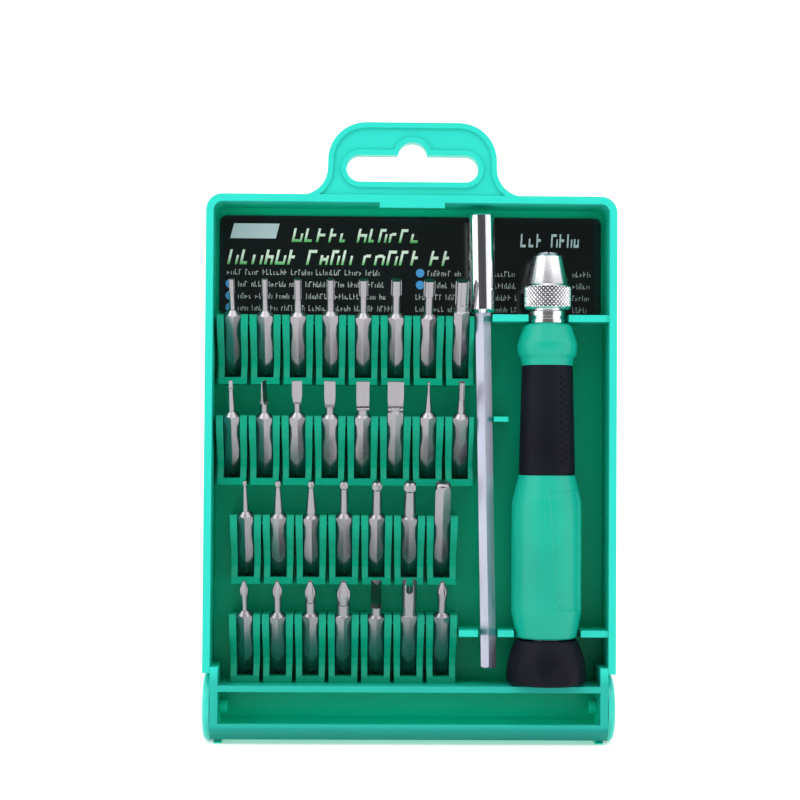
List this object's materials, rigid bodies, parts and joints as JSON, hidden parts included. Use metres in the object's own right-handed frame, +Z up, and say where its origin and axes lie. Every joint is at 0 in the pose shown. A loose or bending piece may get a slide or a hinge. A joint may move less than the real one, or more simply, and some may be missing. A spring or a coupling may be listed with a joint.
{
  "type": "precision screwdriver set",
  "caption": "Hang-up plastic case with leaning racks of small hex bits, a bit holder, a collet screwdriver with swivel cap, and a lid folded back as a stand.",
  "frame": {"origin": "on the table, at the middle of the overall box", "axes": "+Z up, +X to the right across the case, -Y towards the open front"},
  "size_m": [0.1076, 0.1506, 0.1623],
  "materials": {
    "case_green": "satin moulded polypropylene",
    "lid_green": "satin moulded polypropylene",
    "rack_green": "satin moulded polypropylene",
    "handle_green": "smooth moulded plastic",
    "printed_card": "glossy printed card",
    "clear_plastic": "clear polished",
    "soft_grip": "matt soft rubber",
    "cap_black": "satin moulded plastic",
    "polished_aluminium": "polished and knurled",
    "tool_steel": "nickel plated",
    "bit_steel": "nickel plated tool steel",
    "chrome_plate": "mirror chrome",
    "magnet": "nickel plated magnet"
  },
  "bodies": {
    "case": {"tray": "case_green", "label_card": "printed_card", "bit_rack_1": "rack_green", "bit_rack_2": "rack_green", "bit_rack_3": "rack_green", "bit_rack_4": "rack_green"},
    "cover": {"cover_frame": "lid_green", "cover_window": "clear_plastic", "hinge_pin_left": "case_green", "hinge_pin_right": "case_green"},
    "driver": {"driver_handle": "handle_green", "driver_grip": "soft_grip", "driver_collar": "polished_aluminium", "cap_axle": "tool_steel", "cap_washer": "tool_steel"},
    "driver_cap": {"driver_cap": "cap_black"},
    "chuck_sleeve": {"chuck_sleeve": "polished_aluminium"},
    "chuck_collet": {"chuck_collet": "tool_steel"},
    "holder": {"holder_socket": "chrome_plate", "holder_shaft": "tool_steel", "holder_magnet": "magnet"},
    "bit_star_t4": {"bit_star_t4": "bit_steel"},
    "bit_star_t5": {"bit_star_t5": "bit_steel"},
    "bit_star_t6": {"bit_star_t6": "bit_steel"},
    "bit_star_t7": {"bit_star_t7": "bit_steel"},
    "bit_star_t8": {"bit_star_t8": "bit_steel"},
    "bit_star_t10": {"bit_star_t10": "bit_steel"},
    "bit_star_t15": {"bit_star_t15": "bit_steel"},
    "bit_star_t20": {"bit_star_t20": "bit_steel"},
    "bit_slot_1_5": {"bit_slot_1_5": "bit_steel"},
    "bit_slot_2_0": {"bit_slot_2_0": "bit_steel"},
    "bit_slot_2_5": {"bit_slot_2_5": "bit_steel"},
    "bit_slot_3_0": {"bit_slot_3_0": "bit_steel"},
    "bit_slot_3_5": {"bit_slot_3_5": "bit_steel"},
    "bit_slot_4_0": {"bit_slot_4_0": "bit_steel"},
    "bit_pin": {"bit_pin": "bit_steel"},
    "bit_five_lobe": {"bit_five_lobe": "bit_steel"},
    "bit_hex_0_9": {"bit_hex_0_9": "bit_steel"},
    "bit_hex_1_3": {"bit_hex_1_3": "bit_steel"},
    "bit_hex_1_5": {"bit_hex_1_5": "bit_steel"},
    "bit_hex_2_0": {"bit_hex_2_0": "bit_steel"},
    "bit_hex_2_5": {"bit_hex_2_5": "bit_steel"},
    "bit_hex_3_0": {"bit_hex_3_0": "bit_steel"},
    "bit_hex_4_0": {"bit_hex_4_0": "bit_steel"},
    "bit_cross_00": {"bit_cross_00": "bit_steel"},
    "bit_cross_0": {"bit_cross_0": "bit_steel"},
    "bit_cross_1": {"bit_cross_1": "bit_steel"},
    "bit_cross_2": {"bit_cross_2": "bit_steel"},
    "bit_triangle": {"bit_triangle": "bit_steel"},
    "bit_fork": {"bit_fork": "bit_steel"},
    "bit_three_wing": {"bit_three_wing": "bit_steel"}
  },
  "joints": [
    {"name": "cover_hinge", "type": "hinge", "parent": "case", "child": "cover", "pos_m": [0, -0.06013, 0.0092], "axis": [1, 0, 0], "range_deg": [-262.15, 0]},
    {"name": "driver_lift", "type": "slide", "parent": "case", "child": "driver", "axis": [0, -1, 0], "range_m": [0, 0.045]},
    {"name": "cap_spin", "type": "hinge", "parent": "driver", "child": "driver_cap", "pos_m": [0.0359, -0.06483, 0.02], "axis": [0, 0, 1], "continuous": true},
    {"name": "chuck_turn", "type": "hinge", "parent": "driver", "child": "chuck_sleeve", "pos_m": [0.0359, -0.06483, 0.12], "axis": [0, 0, 1], "range_deg": [0, 720]},
    {"name": "collet_slide", "type": "slide", "parent": "driver", "child": "chuck_collet", "axis": [0, 0, 1], "range_m": [0, 0.0014]},
    {"name": "holder_lift", "type": "slide", "parent": "case", "child": "holder", "axis": [0, -1, 0], "range_m": [0, 0.045]},
    {"name": "bit_star_t4_lift", "type": "slide", "parent": "case", "child": "bit_star_t4", "axis": [0, -0.4617, 0.887], "range_m": [0, 0.03]},
    {"name": "bit_star_t5_lift", "type": "slide", "parent": "case", "child": "bit_star_t5", "axis": [0, -0.4617, 0.887], "range_m": [0, 0.03]},
    {"name": "bit_star_t6_lift", "type": "slide", "parent": "case", "child": "bit_star_t6", "axis": [0, -0.4617, 0.887], "range_m": [0, 0.03]},
    {"name": "bit_star_t7_lift", "type": "slide", "parent": "case", "child": "bit_star_t7", "axis": [0, -0.4617, 0.887], "range_m": [0, 0.03]},
    {"name": "bit_star_t8_lift", "type": "slide", "parent": "case", "child": "bit_star_t8", "axis": [0, -0.4617, 0.887], "range_m": [0, 0.03]},
    {"name": "bit_star_t10_lift", "type": "slide", "parent": "case", "child": "bit_star_t10", "axis": [0, -0.4617, 0.887], "range_m": [0, 0.03]},
    {"name": "bit_star_t15_lift", "type": "slide", "parent": "case", "child": "bit_star_t15", "axis": [0, -0.4617, 0.887], "range_m": [0, 0.03]},
    {"name": "bit_star_t20_lift", "type": "slide", "parent": "case", "child": "bit_star_t20", "axis": [0, -0.4617, 0.887], "range_m": [0, 0.03]},
    {"name": "bit_slot_1_5_lift", "type": "slide", "parent": "case", "child": "bit_slot_1_5", "axis": [0, -0.4617, 0.887], "range_m": [0, 0.03]},
    {"name": "bit_slot_2_0_lift", "type": "slide", "parent": "case", "child": "bit_slot_2_0", "axis": [0, -0.4617, 0.887], "range_m": [0, 0.03]},
    {"name": "bit_slot_2_5_lift", "type": "slide", "parent": "case", "child": "bit_slot_2_5", "axis": [0, -0.4617, 0.887], "range_m": [0, 0.03]},
    {"name": "bit_slot_3_0_lift", "type": "slide", "parent": "case", "child": "bit_slot_3_0", "axis": [0, -0.4617, 0.887], "range_m": [0, 0.03]},
    {"name": "bit_slot_3_5_lift", "type": "slide", "parent": "case", "child": "bit_slot_3_5", "axis": [0, -0.4617, 0.887], "range_m": [0, 0.03]},
    {"name": "bit_slot_4_0_lift", "type": "slide", "parent": "case", "child": "bit_slot_4_0", "axis": [0, -0.4617, 0.887], "range_m": [0, 0.03]},
    {"name": "bit_pin_lift", "type": "slide", "parent": "case", "child": "bit_pin", "axis": [0, -0.4617, 0.887], "range_m": [0, 0.03]},
    {"name": "bit_five_lobe_lift", "type": "slide", "parent": "case", "child": "bit_five_lobe", "axis": [0, -0.4617, 0.887], "range_m": [0, 0.03]},
    {"name": "bit_hex_0_9_lift", "type": "slide", "parent": "case", "child": "bit_hex_0_9", "axis": [0, -0.4617, 0.887], "range_m": [0, 0.03]},
    {"name": "bit_hex_1_3_lift", "type": "slide", "parent": "case", "child": "bit_hex_1_3", "axis": [0, -0.4617, 0.887], "range_m": [0, 0.03]},
    {"name": "bit_hex_1_5_lift", "type": "slide", "parent": "case", "child": "bit_hex_1_5", "axis": [0, -0.4617, 0.887], "range_m": [0, 0.03]},
    {"name": "bit_hex_2_0_lift", "type": "slide", "parent": "case", "child": "bit_hex_2_0", "axis": [0, -0.4617, 0.887], "range_m": [0, 0.03]},
    {"name": "bit_hex_2_5_lift", "type": "slide", "parent": "case", "child": "bit_hex_2_5", "axis": [0, -0.4617, 0.887], "range_m": [0, 0.03]},
    {"name": "bit_hex_3_0_lift", "type": "slide", "parent": "case", "child": "bit_hex_3_0", "axis": [0, -0.4617, 0.887], "range_m": [0, 0.03]},
    {"name": "bit_hex_4_0_lift", "type": "slide", "parent": "case", "child": "bit_hex_4_0", "axis": [0, -0.4617, 0.887], "range_m": [0, 0.03]},
    {"name": "bit_cross_00_lift", "type": "slide", "parent": "case", "child": "bit_cross_00", "axis": [0, -0.4617, 0.887], "range_m": [0, 0.03]},
    {"name": "bit_cross_0_lift", "type": "slide", "parent": "case", "child": "bit_cross_0", "axis": [0, -0.4617, 0.887], "range_m": [0, 0.03]},
    {"name": "bit_cross_1_lift", "type": "slide", "parent": "case", "child": "bit_cross_1", "axis": [0, -0.4617, 0.887], "range_m": [0, 0.03]},
    {"name": "bit_cross_2_lift", "type": "slide", "parent": "case", "child": "bit_cross_2", "axis": [0, -0.4617, 0.887], "range_m": [0, 0.03]},
    {"name": "bit_triangle_lift", "type": "slide", "parent": "case", "child": "bit_triangle", "axis": [0, -0.4617, 0.887], "range_m": [0, 0.03]},
    {"name": "bit_fork_lift", "type": "slide", "parent": "case", "child": "bit_fork", "axis": [0, -0.4617, 0.887], "range_m": [0, 0.03]},
    {"name": "bit_three_wing_lift", "type": "slide", "parent": "case", "child": "bit_three_wing", "axis": [0, -0.4617, 0.887], "range_m": [0, 0.03]}
  ],
  "couplings": [
    {"joint": "chuck_turn", "follows": "collet_slide", "rad_per_m": 8976}
  ]
}
